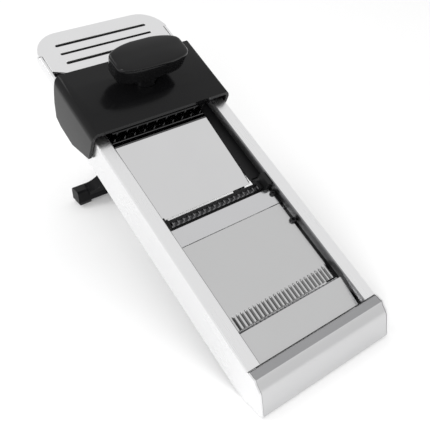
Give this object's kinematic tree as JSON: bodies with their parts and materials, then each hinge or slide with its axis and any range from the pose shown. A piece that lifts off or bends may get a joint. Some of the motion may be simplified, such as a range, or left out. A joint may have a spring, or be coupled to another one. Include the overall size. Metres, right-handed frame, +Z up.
{
  "type": "mandoline slicer",
  "caption": "Inclined steel mandoline slicer with an adjustable ramp, straight and crinkle blades, a julienne comb, a sliding pin carriage with a knob, and a folding leg.",
  "frame": {"origin": "on the table, under the middle of the whole object's box", "axes": "+X to the right seen from the nose, +Y from the nose towards the handle end, +Z up; the rails rise 25 degrees towards +Y"},
  "size_m": [0.142, 0.3385, 0.1904],
  "materials": {
    "side_rail_steel": "satin",
    "plate_steel": "satin",
    "polished_steel": "mirror polished",
    "blade_steel": "ground",
    "carriage_plastic": "moulded gloss",
    "frame_plastic": "moulded satin",
    "leg_plastic": "moulded satin",
    "pad_rubber": "matte",
    "plated_steel": "zinc plated",
    "black_screw": "black oxide"
  },
  "bodies": {
    "body": {"left_side_rail": "side_rail_steel", "right_side_rail": "side_rail_steel", "nose_cap": "side_rail_steel", "head_plate": "side_rail_steel", "handle_liner": "frame_plastic", "left_side_frame": "frame_plastic", "right_side_frame": "frame_plastic", "straight_blade": "blade_steel", "blade_bar": "frame_plastic", "blade_lock_screw": "black_screw", "plate_stop_screw": "black_screw", "lower_plate": "plate_steel", "crinkle_blade": "blade_steel", "crinkle_bar": "frame_plastic", "front_tie_bar": "plated_steel", "leg_stop_bar": "plated_steel", "leg_pivot_rod": "plated_steel", "ramp_pivot_rod": "plated_steel", "centre_plate_rod": "plated_steel", "left_comb_guide": "frame_plastic", "right_comb_guide": "frame_plastic"},
    "carriage": {"carriage_shell": "carriage_plastic"},
    "pusher": {"knob": "carriage_plastic", "pusher_stem": "carriage_plastic", "pin_plate": "frame_plastic", "pusher_screw": "plated_steel"},
    "leg": {"leg_frame": "leg_plastic", "left_foot_pad": "pad_rubber", "right_foot_pad": "pad_rubber"},
    "ramp": {"upper_ramp": "polished_steel"},
    "ramp_adjuster": {"ramp_lever": "plated_steel", "ramp_lever_grip": "frame_plastic"},
    "slicing_plate": {"centre_plate": "plate_steel"},
    "plate_adjuster": {"centre_plate_lever": "plated_steel", "centre_plate_lever_grip": "frame_plastic"},
    "comb": {"comb_carrier": "frame_plastic", "julienne_comb": "blade_steel"},
    "comb_adjuster": {"comb_lever": "plated_steel", "comb_lever_grip": "frame_plastic"}
  },
  "joints": [
    {"name": "carriage_slide", "type": "slide", "parent": "body", "child": "carriage", "axis": [0, 0.9063, 0.4226], "range_m": [-0.215, 0]},
    {"name": "pusher_lift", "type": "slide", "parent": "carriage", "child": "pusher", "axis": [0, -0.4226, 0.9063], "range_m": [0, 0.003]},
    {"name": "leg_fold", "type": "hinge", "parent": "body", "child": "leg", "pos_m": [0, 0.09998, 0.12498], "axis": [1, 0, 0], "range_deg": [-76, 0]},
    {"name": "ramp_tilt", "type": "hinge", "parent": "body", "child": "ramp", "pos_m": [0, 0.10544, 0.14639], "axis": [1, 0, 0], "range_deg": [-2.5, 1.1]},
    {"name": "ramp_lever_turn", "type": "hinge", "parent": "body", "child": "ramp_adjuster", "pos_m": [0, 0.00007, 0.07894], "axis": [1, 0, 0], "range_deg": [-18.7, 42.5]},
    {"name": "centre_plate_tilt", "type": "hinge", "parent": "body", "child": "slicing_plate", "pos_m": [0, -0.05059, 0.06691], "axis": [1, 0, 0], "range_deg": [-2.4, 3]},
    {"name": "centre_plate_lever_turn", "type": "hinge", "parent": "body", "child": "plate_adjuster", "pos_m": [0, -0.10116, 0.03339], "axis": [1, 0, 0], "range_deg": [-51.5, 41.5]},
    {"name": "comb_lift", "type": "slide", "parent": "body", "child": "comb", "axis": [0, -0.4226, 0.9063], "range_m": [-0.0075, 0]},
    {"name": "comb_lever_turn", "type": "hinge", "parent": "body", "child": "comb_adjuster", "pos_m": [0, -0.02679, 0.06201], "axis": [1, 0, 0], "range_deg": [-77.6, 0.2]}
  ],
  "couplings": [
    {"joint": "ramp_lever_turn", "follows": "ramp_tilt", "ratio": -16.9},
    {"joint": "centre_plate_lever_turn", "follows": "centre_plate_tilt", "ratio": -17},
    {"joint": "comb_lever_turn", "follows": "comb_lift", "rad_per_m": 180}
  ]
}
